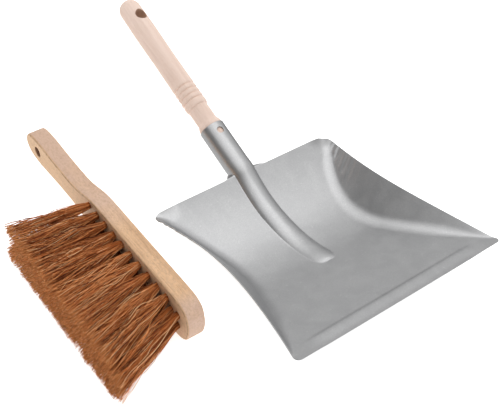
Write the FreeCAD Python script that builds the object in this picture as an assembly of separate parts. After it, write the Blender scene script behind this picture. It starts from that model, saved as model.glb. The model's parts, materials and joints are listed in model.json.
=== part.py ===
import FreeCAD, Part
import math
import os

from FreeCAD import Placement, Rotation, Vector

# Dust pan and hand brush set, in millimetres.
#
# World frame: +Z up, the open lip of the pan towards -Y, the brush beside the pan towards -X, and
# the origin in the middle of the foot print, on the floor.
#
# Pan frame: x forward to the lip, y across, z up. The front half of the floor is the plane z = 0
# and the back half curls up on an arc. The handle leaves the middle of the back edge.
#
# Brush frame: x along the block from the handle's end to the nose, y across its width, z out of
# the back of the block. The tuft face is z = 0, and the bristles point to -z.

# --- pan sheet ---------------------------------------------------------------------------------
SHEET = 0.8                 # thickness of the galvanised steel
FLOOR_RADIUS = 130.0        # radius of the curled back half of the floor
FLOOR_CURL = 56.3           # degrees that it curls through
FLOOR_FLAT = 105.0          # length of the flat front half
LIP_HALF_WIDTH = 120.2      # half of the width at the lip
CREASE_WAIST = 71.5         # half width between the two side creases where they are nearest
CREASE_WAIST_AT = -32.0     # where that is, along the floor from the start of the flat
CREASE_SPREAD = 0.5         # how fast the creases spread from there
CREASE_ROUND = 22.0         # how round their bend is
EDGE_WAIST = 99.5           # the same for the walls' top edges, seen from above
EDGE_WAIST_AT = -33.0
EDGE_SPREAD = 0.3
EDGE_ROUND = 28.0
EDGE_HEIGHT = (30.6, -0.2644, -0.000526)    # height of the walls' top edge: a + b x + c x^2
FOLD_LENGTH = 10.0          # length of the soft fold on each side of a crease
BACK_FLARE = (6.5, 4.4)     # how far the back corners are bent back and down
BACK_FLARE_FROM = 80.0      # where across the sheet that bend starts
BACK_FLARE_LENGTH = 16.0    # and over what length along the sheet it sets in
BACK_CORNER = (-114.6, 107.4)
BACK_CORNER_RADIUS = 18.0
FRONT_CORNER_RADIUS = 8.0
CORNER_INSET = 0.88         # a corner disc's centre, in radii from both rims
LIP_STEP = 1.1              # drop of the stiffening step behind the lip
LIP_STEP_AT = 87.0          # where it starts
LIP_STEP_LENGTH = 5.0
LIP_STEP_HALF_WIDTH = 104.0
LIP_STEP_FADE = 22.0        # width over which it dies out at each end

# --- rib and socket, pressed and rolled from the same sheet ------------------------------------
SOCKET_RADIUS = 12.2        # outer radius of the rolled socket
SOCKET_RISE = 42.5          # degrees that it rises above the flat front of the floor
SOCKET_SINK = 4.3           # depth of its axis under the floor's back edge
SOCKET_LENGTH = 57.2        # from the back edge to the mouth
SOCKET_SEAM = 1.0           # gap of the rolled seam underneath
SOCKET_LAP = 9.0            # how far the rolled part reaches forward under the floor
RIB_HALF_WIDTH = 11.3
RIB_HEIGHT_BACK = 7.7
RIB_HEIGHT_FRONT = 3.2
RIB_TIP = 6.0               # where it ends, along the floor from the start of the flat
RIB_TIP_LENGTH = 15.0
NAIL_HOLE_DIAMETER = 7.2
NAIL_HOLE_FROM_MOUTH = 9.5

# --- pan handle, turned beech ------------------------------------------------------------------
HANDLE_LENGTH = 165.7       # from the socket's mouth to the domed end
TENON_LENGTH = 46.0
TENON_CLEARANCE = 0.05
NECK_RADIUS = 10.4
GROOVED_RADIUS = 11.85      # of the rings between the grooves
GRIP = ((60.0, 11.6), (90.0, 11.55), (125.0, 11.87))   # its barrel shape: distance, radius
END_RADIUS = 11.45          # next to the domed end
GROOVE_FIRST = 33.6         # distance of the first groove from the mouth
GROOVE_PITCH = 5.8
GROOVE_COUNT = 4
GROOVE_RADIUS = 0.9
BEAD_FROM = 26.2            # the raised bead between the neck and the grooves
BEAD_LENGTH = 7.0
BEAD_HEIGHT = 1.6
FLARE_LENGTH = 8.0
DOME_LENGTH = 11.0
HANG_HOLE_DIAMETER = 12.0
HANG_HOLE_FROM_END = 24.2
HANG_HOLE_TURN = 12.0       # degrees about the handle, from its top
NAIL_RADIUS = 0.9
NAIL_HEAD_RADIUS = 2.2
NAIL_HEAD_HEIGHT = 0.6
NAIL_LENGTH = 13.0
NAIL_FROM_MOUTH = 24.0
NAIL_TURN = 150.0           # degrees about the socket's axis, from the top

# --- brush block, one piece of wood with its handle --------------------------------------------
BLOCK_LENGTH = 293.0
BLOCK_THICK = 18.0
BLOCK_EDGE_RADIUS = 1.6
OUTLINE_HALF = (            # (x, half width): rounded end, grip, neck, shoulder, side and nose
    (0.0, 0.0), (2.2, 6.6), (7.5, 11.4), (16.0, 13.7), (28.0, 14.4), (46.0, 13.3), (66.0, 12.3),
    (84.0, 12.0), (98.0, 12.6), (109.0, 14.6), (119.0, 17.6), (129.0, 19.9), (142.0, 21.2),
    (170.0, 21.6), (210.0, 22.0), (250.0, 22.5), (270.0, 22.6), (281.0, 21.2), (288.5, 16.4),
    (291.8, 9.0), (BLOCK_LENGTH, 0.0))
BRUSH_HOLE_DIAMETER = 10.0
BRUSH_HOLE_AT = 24.0

# --- tufts -------------------------------------------------------------------------------------
TUFT_RADIUS = 3.2
TUFT_HOLE_RADIUS = 3.25
TUFT_HOLE_DEPTH = 11.0
TUFT_ROWS = (13.0, 4.6, -4.6, -13.0)        # across the block
TUFT_FIRST = (128.5, 135.7, 135.7, 128.5)   # where each row starts
TUFT_PITCH = 14.6
TUFTS_PER_ROW = 10
NOSE_TUFTS = ((277.0, 6.0), (277.0, -6.0))
NOSE_TIP_AT = 324.0
NOSE_TIP_HALF = 8.5         # half of a nose tuft's length at the tips
BRISTLE_LENGTH = 80.5       # from the tuft face to the trimmed tips
TIP_FIRST = 133.0           # the tips spread along the brush, from here
TIP_LAST = 319.0            # to here
TIP_UPPER = 27.0            # spread of the outer tufts' tips away from the floor
TIP_LOWER = 10.5            # and towards it
TIP_GAP = 0.5               # between neighbouring tufts at the tips
STAPLE = (5.0, 0.4, 4.6)    # width, thickness and height of the wire anchor in each hole
STAPLE_IN_WOOD = 2.4

# --- how the two pieces lie on the floor -------------------------------------------------------
PAN_TILT = 20.5             # the handle's weight rocks the pan back on its curl
BRUSH_TURN = -2.8           # degrees between the brush and the pan, seen from above
BRUSH_TILT = 2.9            # the spread bristles lift the tuft face a little
BRUSH_AT = (-239.0, -147.4) # the brush handle's end, forward and across, from the pan's arc

ROWS = 40                   # stations along the sheet
RIB_COLUMNS = (0.0, 2.4, 4.8, 7.0, 9.0, 11.0, 13.2, 16.5)
SIDE_COLUMNS = 20           # evenly spread from there to the wall's top edge

os.makedirs("parts", exist_ok=True)
FLOOR_BACK = -FLOOR_RADIUS * math.radians(FLOOR_CURL)


def smooth(x):
    """A smooth step from 0 at x <= 0 to 1 at x >= 1."""
    x = min(max(x, 0.0), 1.0)
    return x * x * (3.0 - 2.0 * x)


def mix(a, b, t):
    return a + (b - a) * t


def floor_point(s):
    """The floor's centre line at length s from the start of the flat: x, z and its normal."""
    angle = max(-s / FLOOR_RADIUS, 0.0)
    x = -FLOOR_RADIUS * math.sin(angle) + max(s, 0.0)
    z = FLOOR_RADIUS * (1.0 - math.cos(angle))
    return x, z, Vector(math.sin(angle), 0.0, math.cos(angle))


def spread(at, waist, waist_at, slope, roundness):
    """Half width of a crease or an edge: narrow at its waist, and straighter away from it."""
    return waist + math.hypot(slope * (at - waist_at), roundness) - roundness


def rib_height(s, y):
    """Height of the rib above the floor: an arc across, fading to a rounded tip."""
    along = (s - FLOOR_BACK) / (RIB_TIP - FLOOR_BACK)
    if along >= 1.0:
        return 0.0
    end = min((RIB_TIP - s) / RIB_TIP_LENGTH, 1.0)
    end = math.sqrt(1.0 - (1.0 - end) ** 2)
    height = mix(RIB_HEIGHT_BACK, RIB_HEIGHT_FRONT, along) * end
    half = RIB_HALF_WIDTH * mix(0.55, 1.0, end)
    radius = (half * half + height * height) / (2.0 * height + 0.001)
    arc = math.sqrt(max(radius ** 2 - y ** 2, 0.0)) - (radius - height) if abs(y) < radius else -height
    foot = 1.2 * end
    return 0.5 * (arc + math.sqrt(arc * arc + foot * foot)) - 0.25 * foot * foot / (abs(arc) + foot)


def step_drop(s, y):
    """Depth of the step behind the lip, which dies out near the side walls."""
    fade = smooth((LIP_STEP_HALF_WIDTH - abs(y)) / LIP_STEP_FADE)
    return LIP_STEP * smooth((s - LIP_STEP_AT) / LIP_STEP_LENGTH) * fade


def even_steps(path, count):
    """Points at even distances along a path of many short steps, without its first point."""
    lengths = [0.0]
    for before, after in zip(path, path[1:]):
        lengths.append(lengths[-1] + (after - before).Length)
    points = []
    k = 0
    for i in range(1, count + 1):
        want = lengths[-1] * i / count
        while k < len(path) - 2 and lengths[k + 1] < want:
            k += 1
        t = (want - lengths[k]) / (lengths[k + 1] - lengths[k])
        points.append(path[k] + (path[k + 1] - path[k]) * t)
    return points


def section(s):
    """Points across one half of the sheet's upper surface at station s, from the middle out."""
    x, z, normal = floor_point(s)
    crease_y = spread(s, CREASE_WAIST, CREASE_WAIST_AT, CREASE_SPREAD, CREASE_ROUND)
    crease_y = min(crease_y, LIP_HALF_WIDTH - 1.5)
    edge_y = max(spread(x, EDGE_WAIST, EDGE_WAIST_AT, EDGE_SPREAD, EDGE_ROUND), crease_y + 1.0)
    a, b, c = EDGE_HEIGHT
    edge_z = max(a + b * x + c * x * x, 0.0)
    flare = Vector(-BACK_FLARE[0], 0, -BACK_FLARE[1])
    flare *= smooth((FLOOR_BACK + BACK_FLARE_LENGTH - s) / BACK_FLARE_LENGTH)
    crease = Vector(x, crease_y, z)
    edge = Vector(x, edge_y, edge_z) - Vector(0, 0, flare.z)
    wall = edge - crease
    fold = min(FOLD_LENGTH, 0.5 * wall.Length)
    before = Vector(x, crease_y - fold, z)
    after = crease + wall * (fold / wall.Length)
    rib_side = Vector(x, RIB_COLUMNS[-1], z)
    path = [rib_side + (before - rib_side) * (k / 60) for k in range(61)]
    for k in range(1, 31):
        t = k / 30
        path.append(before * (1 - t) ** 2 + crease * (2 * t * (1 - t)) + after * t * t)
    path += [after + (edge - after) * (k / 30) for k in range(1, 31)]
    path = [p + flare * smooth((p.y - BACK_FLARE_FROM) / (edge_y - BACK_FLARE_FROM)) for p in path]
    points = [Vector(x, y, z) + normal * (rib_height(s, y) - step_drop(s, y)) for y in RIB_COLUMNS]
    for point in even_steps(path, SIDE_COLUMNS):
        points.append(point - normal * step_drop(s, point.y))
    return points


def sheet_grid():
    """The upper surface as rows of points, from the back edge to the lip."""
    rows = []
    for i in range(ROWS):
        s = mix(FLOOR_BACK, FLOOR_FLAT, i / (ROWS - 1))
        half = section(s)
        rows.append([Vector(p.x, -p.y, p.z) for p in reversed(half[1:])] + half)
    return rows


def under_grid(rows):
    """The lower surface: each point moved by the sheet's thickness against its normal."""
    result = []
    last = len(rows) - 1
    for i, row in enumerate(rows):
        line = []
        for j, point in enumerate(row):
            along = rows[min(i + 1, last)][j] - rows[max(i - 1, 0)][j]
            across = row[min(j + 1, len(row) - 1)] - row[max(j - 1, 0)]
            normal = along.cross(across)
            normal.normalize()
            line.append(point - normal * SHEET)
        result.append(line)
    return result


def surface(rows):
    patch = Part.BSplineSurface()
    patch.interpolate(rows)
    return patch


def sheet_solid():
    """The pressed sheet before its socket: two smooth skins joined along four rims."""
    upper_rows = sheet_grid()
    upper = surface(upper_rows)
    lower = surface(under_grid(upper_rows))
    faces = [upper.toShape(), lower.toShape()]
    bounds = upper.bounds()
    for u in bounds[0:2]:
        faces.append(Part.makeRuledSurface(upper.uIso(u).toShape(), lower.uIso(u).toShape()))
    for v in bounds[2:4]:
        faces.append(Part.makeRuledSurface(upper.vIso(v).toShape(), lower.vIso(v).toShape()))
    shell = Part.Shell(faces)
    shell.sewShape()
    solid = Part.Solid(shell)
    if solid.Volume < 0:
        solid.reverse()
    return solid


def corner_cutter(x, y, radius, side, forward):
    """A prism that rounds one corner of the sheet, seen from above.

    Its disc crosses the two rims at a small angle, because a tangent cut is not reliable.
    """
    out = 20.0
    inset = radius * CORNER_INSET
    size = inset + out
    centre = Vector(x - forward * inset, side * (y - inset), 0)
    square = Part.makeBox(size, size, 120.0)
    square.translate(centre + Vector(0 if forward > 0 else -size, 0 if side > 0 else -size, -20.0))
    disc = Part.makeCylinder(radius, 140.0, centre + Vector(0, 0, -30.0))
    return square.cut(disc)


def socket_frame():
    """Placement of the socket: its z axis runs out through the mouth, and its x axis is its top."""
    x, z, _ = floor_point(FLOOR_BACK)
    rise = math.radians(SOCKET_RISE)
    out = Vector(-math.cos(rise), 0, math.sin(rise))
    top = Vector(math.sin(rise), 0, math.cos(rise))
    base = Vector(x, 0, z) - top * SOCKET_SINK
    return Placement(base, Rotation(top, out.cross(top), out, "ZXY"))


def placed(shape, placement):
    copy = shape.copy()
    copy.Placement = placement.multiply(copy.Placement)
    return copy


def make_pan_sheet():
    """The pressed sheet, its rounded corners, and the socket rolled from its back edge."""
    sheet = sheet_solid()
    back_x, back_z, _ = floor_point(FLOOR_BACK)
    for side in (1, -1):
        sheet = sheet.cut(corner_cutter(FLOOR_FLAT, LIP_HALF_WIDTH, FRONT_CORNER_RADIUS, side, 1))
        sheet = sheet.cut(corner_cutter(BACK_CORNER[0], BACK_CORNER[1], BACK_CORNER_RADIUS, side, -1))
    tube = Part.makeCylinder(SOCKET_RADIUS, SOCKET_LENGTH + SOCKET_LAP, Vector(0, 0, -SOCKET_LAP))
    bore = Part.makeCylinder(SOCKET_RADIUS - SHEET, SOCKET_LENGTH + 2 * SOCKET_LAP,
                             Vector(0, 0, -1.5 * SOCKET_LAP))
    seam = Part.makeBox(SOCKET_RADIUS, SOCKET_SEAM, SOCKET_LENGTH + 2 * SOCKET_LAP,
                        Vector(-SOCKET_RADIUS - 1, -SOCKET_SEAM / 2, -1.5 * SOCKET_LAP))
    hole = Part.makeCylinder(NAIL_HOLE_DIAMETER / 2, SOCKET_RADIUS + 5,
                             Vector(0, 0, SOCKET_LENGTH - NAIL_HOLE_FROM_MOUTH), Vector(1, 0, 0))
    tube = placed(tube.cut(bore).cut(seam).cut(hole), socket_frame())
    side = 200.0
    behind = Part.makeBox(side, side, side, Vector(back_x + 2.0 - side, -side / 2, back_z - side / 2))
    return sheet.fuse(tube.common(behind))


def turned(profile):
    """A solid turned about the z axis from (z, radius) points joined by straight lines."""
    points = [Vector(radius, 0, z) for z, radius in profile]
    points = [Vector(0, 0, profile[0][0])] + points + [Vector(0, 0, profile[-1][0])]
    wire = Part.makePolygon(points + [points[0]])
    return Part.Face(wire).revolve(Vector(0, 0, 0), Vector(0, 0, 1), 360)


def make_pan_handle():
    """Turned beech: tenon, flare at the mouth, neck, bead, four grooves, grip and dome."""
    tenon = SOCKET_RADIUS - SHEET - TENON_CLEARANCE
    dome_from = HANDLE_LENGTH - DOME_LENGTH
    profile = [(-TENON_LENGTH, tenon - 1.0), (-TENON_LENGTH + 1.5, tenon), (0.0, tenon),
               (0.0, SOCKET_RADIUS + 0.3), (2.0, SOCKET_RADIUS), (FLARE_LENGTH, NECK_RADIUS + 0.1),
               (FLARE_LENGTH + 2.0, NECK_RADIUS), (BEAD_FROM, NECK_RADIUS)]
    for k in range(1, 9):
        angle = math.pi * k / 9
        profile.append((BEAD_FROM + BEAD_LENGTH / 2 * (1 - math.cos(angle)),
                        NECK_RADIUS + BEAD_HEIGHT * math.sin(angle)))
    grooves_to = GROOVE_FIRST + (GROOVE_COUNT - 0.2) * GROOVE_PITCH
    profile += [(GROOVE_FIRST, GROOVED_RADIUS), (grooves_to, GROOVED_RADIUS), *GRIP, (dome_from, END_RADIUS)]
    for k in range(1, 9):
        angle = 0.5 * math.pi * k / 8
        profile.append((dome_from + DOME_LENGTH * math.sin(angle), max(END_RADIUS * math.cos(angle), 0.01)))
    handle = turned(profile)
    for k in range(GROOVE_COUNT):
        ring = Part.makeTorus(GROOVED_RADIUS + 0.25, GROOVE_RADIUS, Vector(0, 0, GROOVE_FIRST + k * GROOVE_PITCH))
        handle = handle.cut(ring)
    along = Rotation(Vector(0, 0, 1), HANG_HOLE_TURN).multVec(Vector(1, 0, 0))
    start = Vector(0, 0, HANDLE_LENGTH - HANG_HOLE_FROM_END) - along * 20
    return handle.cut(Part.makeCylinder(HANG_HOLE_DIAMETER / 2, 40, start, along))


def make_nail():
    """The nail that holds the handle, with its head under the socket, beside the seam."""
    out = Rotation(Vector(0, 0, 1), NAIL_TURN).multVec(Vector(1, 0, 0))
    middle = Vector(0, 0, -NAIL_FROM_MOUTH)
    head = Part.makeCylinder(NAIL_HEAD_RADIUS, NAIL_HEAD_HEIGHT + 0.6, middle + out * (SOCKET_RADIUS - 0.6), out)
    round_outside = Part.makeCylinder(SOCKET_RADIUS, 20, middle - Vector(0, 0, 10))
    shank = Part.makeCylinder(NAIL_RADIUS, NAIL_LENGTH, middle + out * (SOCKET_RADIUS + 0.2), out * -1)
    return head.cut(round_outside).fuse(shank)


def block_outline():
    """The block's plan: one closed smooth curve through the points of one half and its mirror."""
    half = OUTLINE_HALF
    points = [Vector(x, y, 0) for x, y in half]
    points += [Vector(x, -y, 0) for x, y in reversed(half[1:-1])]
    curve = Part.BSplineCurve()
    curve.interpolate(points, PeriodicFlag=True)
    return Part.Wire(curve.toShape())


def tuft_places():
    """Every tuft's name, its row's number, and its place on the tuft face."""
    places = []
    for row, (across, first) in enumerate(zip(TUFT_ROWS, TUFT_FIRST), start=1):
        for k in range(TUFTS_PER_ROW):
            places.append(("tuft_row%d_%02d" % (row, k + 1), first + k * TUFT_PITCH, across))
    for k, (x, y) in enumerate(NOSE_TUFTS, start=1):
        places.append(("tuft_nose_%d" % k, x, y))
    return places


def make_block():
    """The block: its plan raised to its thickness, soft edges, tuft holes and hanging hole."""
    block = Part.Face(block_outline()).extrude(Vector(0, 0, BLOCK_THICK))
    outline = [edge for edge in block.Edges
               if abs(edge.BoundBox.ZMax - edge.BoundBox.ZMin) < 0.001]
    block = block.makeFillet(BLOCK_EDGE_RADIUS, outline)
    holes = [Part.makeCylinder(TUFT_HOLE_RADIUS, TUFT_HOLE_DEPTH + 1, Vector(x, y, -1))
             for _, x, y in tuft_places()]
    holes.append(Part.makeCylinder(BRUSH_HOLE_DIAMETER / 2, BLOCK_THICK + 2, Vector(BRUSH_HOLE_AT, 0, -1)))
    return block.cut(holes)


def tip_place(x, y):
    """Where a tuft's tip is: the bristles spread along the brush and across it."""
    along = (x - min(TUFT_FIRST)) / (NOSE_TUFTS[0][0] - min(TUFT_FIRST))
    across = (y - TUFT_ROWS[-1]) / (TUFT_ROWS[0] - TUFT_ROWS[-1])
    return mix(TIP_FIRST, TIP_LAST, along), mix(-TIP_UPPER, TIP_LOWER, across)


def make_staple(x, y):
    """The flat wire anchor that pins a folded tuft in its hole."""
    width, thick, height = STAPLE
    low = TUFT_HOLE_DEPTH + STAPLE_IN_WOOD - height
    return Part.makeBox(thick, width, height, Vector(x - thick / 2, y - width / 2, low))


def make_tuft(x, y):
    """A plain closed tuft: a round shank in its hole, then a cone that widens to the tips."""
    tip_x, tip_y = tip_place(x, y)
    spread_x = (TIP_LAST - TIP_FIRST) / (NOSE_TUFTS[0][0] - min(TUFT_FIRST))
    half_x = (TUFT_PITCH * spread_x - TIP_GAP) / 2
    if (x, y) in NOSE_TUFTS:
        tip_x, half_x = NOSE_TIP_AT, NOSE_TIP_HALF
    half_y = ((TIP_UPPER + TIP_LOWER) / (len(TUFT_ROWS) - 1) - TIP_GAP) / 2
    shank = Part.makeCylinder(TUFT_RADIUS, TUFT_HOLE_DEPTH, Vector(x, y, 0))
    root = Part.Wire(Part.makeCircle(TUFT_RADIUS, Vector(x, y, 0)))
    tip = Part.Wire(Part.Ellipse(Vector(tip_x, tip_y, -BRISTLE_LENGTH), half_x, half_y).toShape())
    cone = Part.makeLoft([root, tip], True)
    return shank.fuse(cone).cut(make_staple(x, y))


def pan_place():
    """The pan in the world: rocked back on its curl, with the lip towards -Y."""
    centre = Vector(0, 0, FLOOR_RADIUS)
    rock = Placement(Vector(0, 0, SHEET), Rotation(Vector(0, 1, 0), -PAN_TILT), centre)
    return Placement(Vector(0, 0, 0), Rotation(Vector(0, 0, 1), -90)).multiply(rock)


def brush_place():
    """The brush in the world: on its long side, with the back of its block towards the pan."""
    lie = Rotation(Vector(1, 0, 0), -90 + BRUSH_TILT)
    turn = Rotation(Vector(0, 0, 1), -90 + BRUSH_TURN)
    forward, across = BRUSH_AT
    return Placement(Vector(across, -forward, 0), turn.multiply(lie))


def build():
    """Every piece in the world frame, as a list of (name, shape)."""
    pan = pan_place()
    handle_frame = socket_frame()
    handle_frame.Base = handle_frame.Base + handle_frame.Rotation.multVec(Vector(0, 0, SOCKET_LENGTH))
    handle_at = pan.multiply(handle_frame)
    nail = placed(make_nail(), handle_at)
    pieces = [("pan_sheet", placed(make_pan_sheet(), pan).cut(nail)),
              ("pan_handle", placed(make_pan_handle(), handle_at).cut(nail)),
              ("handle_nail", nail)]

    brush = brush_place()
    places = tuft_places()
    staples = [make_staple(x, y) for _, x, y in places]
    block = placed(make_block().cut(staples), brush)
    brush_pieces = [("brush_block", block),
                    ("tuft_staples", placed(Part.makeCompound(staples), brush))]
    brush_pieces += [(name, placed(make_tuft(x, y), brush)) for name, x, y in places]
    lift = Vector(0, 0, pieces[0][1].BoundBox.ZMin - block.BoundBox.ZMin)
    for _, shape in brush_pieces:
        shape.translate(lift)
    pieces += brush_pieces

    whole = Part.makeCompound([shape for _, shape in pieces]).BoundBox
    middle = Vector(whole.Center.x, whole.Center.y, whole.ZMin)
    for _, shape in pieces:
        shape.translate(middle * -1)
    return pieces


if __name__ == "__main__":
    for name, shape in build():
        shape.exportStep("parts/" + name + ".step")
        print(name, "solids", len(shape.Solids), "valid", shape.isValid(), "volume", round(shape.Volume, 1))
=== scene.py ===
import json
import math

import bmesh
import bpy
import numpy as np
from mathutils import Matrix, Vector


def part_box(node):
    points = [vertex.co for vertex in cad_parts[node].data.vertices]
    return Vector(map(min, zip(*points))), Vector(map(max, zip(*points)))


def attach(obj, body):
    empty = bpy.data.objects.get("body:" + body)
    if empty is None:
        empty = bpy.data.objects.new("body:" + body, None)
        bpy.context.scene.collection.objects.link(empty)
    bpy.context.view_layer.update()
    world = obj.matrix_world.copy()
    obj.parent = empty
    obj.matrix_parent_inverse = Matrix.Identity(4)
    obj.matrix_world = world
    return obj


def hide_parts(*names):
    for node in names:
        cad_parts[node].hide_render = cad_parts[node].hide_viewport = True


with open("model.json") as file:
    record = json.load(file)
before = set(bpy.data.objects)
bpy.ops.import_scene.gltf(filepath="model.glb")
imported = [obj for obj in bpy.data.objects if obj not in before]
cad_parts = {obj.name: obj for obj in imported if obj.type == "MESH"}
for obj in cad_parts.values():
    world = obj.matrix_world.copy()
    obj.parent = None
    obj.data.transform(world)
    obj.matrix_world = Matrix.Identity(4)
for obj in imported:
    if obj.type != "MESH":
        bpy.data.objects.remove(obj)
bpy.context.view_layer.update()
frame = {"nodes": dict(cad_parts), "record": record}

# The looks of the dust pan and hand brush set.
#
# Every length of a piece is in millimetres in that piece's own frame, as in the CAD source. Its
# mesh is then scaled to metres and put where the record's mounts say, and its object isn't moved.
# Pan frame: x forward to the lip, y across, z up. Handle frame: z out to the domed end, x its top.
# Brush frame: x from the handle's end to the nose, y across (down as it lies), z out of its back.
# The floor, light and camera at the end are in metres.

MM = 0.001
RNG = np.random.default_rng(7)

# --- sizes, as in the CAD source, or with * the looks' own, which are closer to the photo ---
SHEET = 0.8
FLOOR_RADIUS = 130.0
FLOOR_CURL = 56.3
FLOOR_FLAT = 105.0
LIP_HALF_WIDTH = 120.2
CREASE = (71.5, -32.0, 0.5, 22.0)       # waist, where it is, slope, roundness
EDGE = (99.5, -33.0, 0.3, 28.0)
EDGE_HEIGHT = (30.6, -0.2644, -0.000526)
FOLD_LENGTH = 10.0
BACK_FLARE = (6.5, 4.4)
BACK_FLARE_FROM = 80.0
BACK_FLARE_LENGTH = 16.0
BACK_CORNER_RADIUS = 11.5  # *
FRONT_CORNER_RADIUS = 6.5  # *
LIP_STEP = 1.1
LIP_STEP_AT = 87.0
LIP_STEP_LENGTH = 3.6  # *
LIP_STEP_HALF_WIDTH = 104.0
LIP_STEP_FADE = 22.0
LIP_BEAD = 0.7  # *
LIP_SLOPE = 13.0  # *
SOCKET_RADIUS = 12.2
SOCKET_RISE = 42.5
SOCKET_SINK = 4.3
SOCKET_LENGTH = 57.2
SOCKET_SEAM = 1.0
RIB_HALF_WIDTH = 11.3
RIB_HEIGHT = (7.7, 3.2)
RIB_TIP = 6.0
RIB_TIP_LENGTH = 15.0
NAIL_HOLE_RADIUS = 3.6
NAIL_HOLE_FROM_MOUTH = 9.5

HANDLE_LENGTH = 165.7
TENON_LENGTH = 46.0
TENON_RADIUS = 11.35
NECK_RADIUS = 10.4
GROOVED_RADIUS = 11.85
GRIP = ((60.0, 11.6), (90.0, 11.55), (125.0, 11.87))
END_RADIUS = 11.45
DOME_LENGTH = 11.0
GROOVES = (33.6, 39.4, 45.2, 51.0)
HANG_HOLE_RADIUS = 6.0
HANG_HOLE_FROM_END = 24.2
HANG_HOLE_TURN = 12.0
LATHE_MARK_OFF = 5.0  # *

BLOCK_THICK = 18.0
OUTLINE_HALF = (
    (0.0, 0.0), (2.2, 6.6), (7.5, 11.4), (16.0, 13.7), (28.0, 14.4), (46.0, 13.3), (66.0, 12.3),
    (84.0, 12.0), (98.0, 12.6), (109.0, 14.6), (119.0, 17.6), (129.0, 19.9), (142.0, 21.2),
    (170.0, 21.6), (210.0, 22.0), (250.0, 22.5), (270.0, 22.6), (281.0, 21.2), (288.5, 16.4),
    (291.8, 9.0), (293.0, 0.0))
BRUSH_HOLE_RADIUS = 5.0
BRUSH_HOLE_AT = 24.0
TUFT_HOLE_RADIUS = 3.25
TUFT_HOLE_DEPTH = 11.0
TUFT_ROWS = (13.0, 4.6, -4.6, -13.0)
TUFT_FIRST = (128.5, 135.7, 135.7, 128.5)
TUFT_PITCH = 14.6
TUFTS_PER_ROW = 10
NOSE_TUFTS = ((277.0, 6.0), (277.0, -6.0))
NOSE_TIP_AT = 312.5  # *
BRISTLE_LENGTH = 80.5
TIP_FIRST = 130.0  # *
TIP_LAST = 319.0
TIP_UPPER = 24.5  # *
TIP_LOWER = 10.5

PAN_TILT = 20.5
BRUSH_TURN = -2.8
BRUSH_TILT = 2.9

FLOOR_BACK = -FLOOR_RADIUS * math.radians(FLOOR_CURL)


# --- small helpers ---
def smooth(x):
    x = np.clip(x, 0.0, 1.0)
    return x * x * (3.0 - 2.0 * x)


def mix(a, b, t):
    return a + (b - a) * t


def turn(axis, degrees):
    return Matrix.Rotation(math.radians(degrees), 4, axis)


def mount(name):
    return next(m for m in frame["record"]["mounts"] if m["name"] == name)


def placed_by(rotation, local, name):
    """The matrix with that rotation that puts a local point, in mm, on a mount of the record."""
    scaled = rotation @ Matrix.Scale(MM, 4)
    offset = Vector(mount(name)["pos_m"]) - scaled @ Vector(local)
    return Matrix.Translation(offset) @ scaled


def unit(vectors):
    return vectors / np.linalg.norm(vectors, axis=-1, keepdims=True)


def arc_lengths(path):
    """The distance along a path, at each of its points."""
    return np.concatenate([[0.0], np.cumsum(np.linalg.norm(np.diff(path, axis=0), axis=1))])


def new_mesh(name, points, faces):
    made = bpy.data.meshes.new(name)
    made.from_pydata(points, [], faces)
    return made


def new_object(name, data):
    made = bpy.data.objects.new(name, data)
    bpy.context.scene.collection.objects.link(made)
    return made


def vertex_values(mesh, key="co", kind=float):
    values = np.empty(len(mesh.vertices) * 3, kind)
    mesh.vertices.foreach_get(key, values)
    return values.reshape(-1, 3)


def set_values(mesh, name, values):
    """A number for every vertex, for the materials to read."""
    made = mesh.attributes.new(name, "FLOAT", "POINT")
    made.data.foreach_set("value", values.astype(np.float32))


def face_outward(mesh):
    work = bmesh.new()
    work.from_mesh(mesh)
    bmesh.ops.recalc_face_normals(work, faces=work.faces)
    work.to_mesh(mesh)
    work.free()


def grid_faces(rows, columns, wrap=False):
    """Quads of a grid of rows x columns vertices."""
    last = columns if wrap else columns - 1
    i, j = np.meshgrid(np.arange(rows - 1), np.arange(last), indexing="ij")
    a = i * columns + j
    b = i * columns + (j + 1) % columns
    return np.stack([a, b, b + columns, a + columns], -1).reshape(-1, 4)


def window_border(r0, r1, c0, c1):
    """The places round a window in a grid, in order."""
    border = [(r0, c) for c in range(c0, c1)] + [(r, c1) for r in range(r0, r1)]
    return border + [(r1, c) for c in range(c1, c0, -1)] + [(r, c0) for r in range(r1, r0, -1)]


class Builder:
    """Collects patches of a mesh, which are welded where their borders meet."""

    def __init__(self):
        self.points, self.faces, self.count = [], [], 0

    def patch(self, points, faces):
        points = np.asarray(points, float).reshape(-1, 3)
        self.points.append(points)
        self.faces.append(np.asarray(faces) + self.count)
        self.count += len(points)

    def grid(self, grid, wrap=False, flip=False):
        grid = np.asarray(grid, float)
        faces = grid_faces(grid.shape[0], grid.shape[1], wrap)
        self.patch(grid, faces[:, ::-1] if flip else faces)

    def mesh(self, name, weld=0.004):
        mesh = new_mesh(name, np.concatenate(self.points).tolist(),
                        np.concatenate(self.faces).tolist())
        work = bmesh.new()
        work.from_mesh(mesh)
        bmesh.ops.remove_doubles(work, verts=work.verts, dist=weld)
        work.to_mesh(mesh)
        work.free()
        return mesh


RIM_ROUNDING = ((0.22, 0.16), (0.5, 0.24), (0.78, 0.16))    # down and out, as shares of it


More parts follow.
